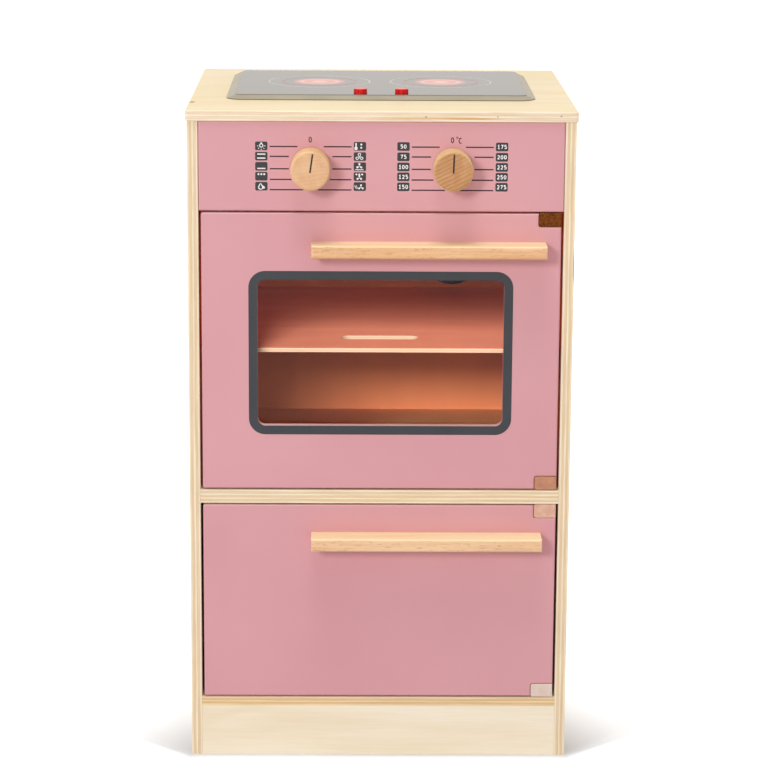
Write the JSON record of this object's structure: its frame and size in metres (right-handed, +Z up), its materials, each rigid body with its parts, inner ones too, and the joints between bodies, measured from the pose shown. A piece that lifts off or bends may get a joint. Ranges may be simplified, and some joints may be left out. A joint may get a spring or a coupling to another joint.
{
  "type": "toy oven",
  "caption": "Play oven: plywood cabinet with a light-up hob, turning dials, a windowed oven door with a shelf behind it and a cupboard door below.",
  "frame": {"origin": "on the floor, under the middle of the overall box", "axes": "+Z up, the front faces -Y, +X to the right seen from the front"},
  "size_m": [0.3, 0.3116, 0.5248],
  "materials": {
    "plywood": "sanded clear-lacquered plywood, satin",
    "painted_board": "pink lacquer on board, satin",
    "hardwood": "oiled beech, satin",
    "border_paint": "dark grey film, matte",
    "clear_pane": "clear acrylic sheet",
    "clear_block": "translucent moulded plastic",
    "steel": "zinc-plated steel",
    "magnet": "nickel-plated",
    "catch_plastic": "off-white moulded plastic",
    "washer_fibre": "fibre washer",
    "hob_plastic": "silver-grey moulded plastic, satin",
    "hob_glass": "printed glossy sheet",
    "black_plastic": "moulded black plastic, fine texture",
    "red_plastic": "red translucent plastic, gloss",
    "white_plastic": "white diffusing plastic",
    "led_clear": "LED lens, gloss",
    "circuit": "green solder mask",
    "battery": "printed battery sleeve, plain"
  },
  "bodies": {
    "cabinet": {"back_panel": "plywood", "back_screws": "steel", "batteries": "battery", "battery_box": "black_plastic", "battery_cover": "black_plastic", "battery_cover_screws": "steel", "bottom_board": "plywood", "button_switches": "black_plastic", "carcass_screws": "steel", "ceiling_board": "plywood", "circuit_board": "circuit", "control_panel": "painted_board", "diffusers": "white_plastic", "divider_board": "plywood", "hob_cover": "hob_plastic", "hob_plate": "hob_glass", "knob_washers": "washer_fibre", "leds": "led_clear", "light_cups": "white_plastic", "lower_catch": "catch_plastic", "lower_magnet": "magnet", "module_tray": "black_plastic", "oven_catch": "catch_plastic", "oven_magnet": "magnet", "oven_shelf": "plywood", "plinth_board": "plywood", "shelf_pegs": "hardwood", "side_panel_left": "plywood", "side_panel_right": "plywood", "speaker": "black_plastic", "tray_screws": "steel", "vent_cap": "black_plastic", "worktop": "plywood", "worktop_dowels": "hardwood"},
    "oven_door": {"oven_door": "painted_board", "oven_handle": "hardwood", "oven_handle_screws": "steel", "oven_hinge_bottom": "clear_block", "oven_hinge_screws": "steel", "oven_hinge_top": "clear_block", "oven_strike": "steel", "window_border": "border_paint", "window_pane": "clear_pane", "window_screws": "steel"},
    "lower_door": {"lower_door": "painted_board", "lower_handle": "hardwood", "lower_handle_screws": "steel", "lower_hinge_bottom": "clear_block", "lower_hinge_screws": "steel", "lower_hinge_top": "clear_block", "lower_strike": "steel"},
    "left_knob": {"left_knob": "hardwood", "left_knob_shaft": "steel", "left_knob_clip": "steel"},
    "right_knob": {"right_knob": "hardwood", "right_knob_shaft": "steel", "right_knob_clip": "steel"},
    "left_button": {"left_button": "red_plastic"},
    "right_button": {"right_button": "red_plastic"}
  },
  "joints": [
    {"name": "oven_door_hinge", "type": "hinge", "parent": "cabinet", "child": "oven_door", "pos_m": [0.1319, -0.127, 0.32895], "axis": [0, 0, 1], "range_deg": [0, 90]},
    {"name": "lower_door_hinge", "type": "hinge", "parent": "cabinet", "child": "lower_door", "pos_m": [0.1319, -0.127, 0.1281], "axis": [0, 0, 1], "range_deg": [0, 90]},
    {"name": "left_knob_turn", "type": "hinge", "parent": "cabinet", "child": "left_knob", "pos_m": [-0.0542, -0.13175, 0.4735], "axis": [0, -1, 0], "continuous": true},
    {"name": "right_knob_turn", "type": "hinge", "parent": "cabinet", "child": "right_knob", "pos_m": [0.0542, -0.13175, 0.4735], "axis": [0, -1, 0], "continuous": true},
    {"name": "left_button_press", "type": "slide", "parent": "cabinet", "child": "left_button", "axis": [0, 0, -1], "range_m": [0, 0.0012], "stiffness_N_per_m": 800},
    {"name": "right_button_press", "type": "slide", "parent": "cabinet", "child": "right_button", "axis": [0, 0, -1], "range_m": [0, 0.0012], "stiffness_N_per_m": 800}
  ]
}
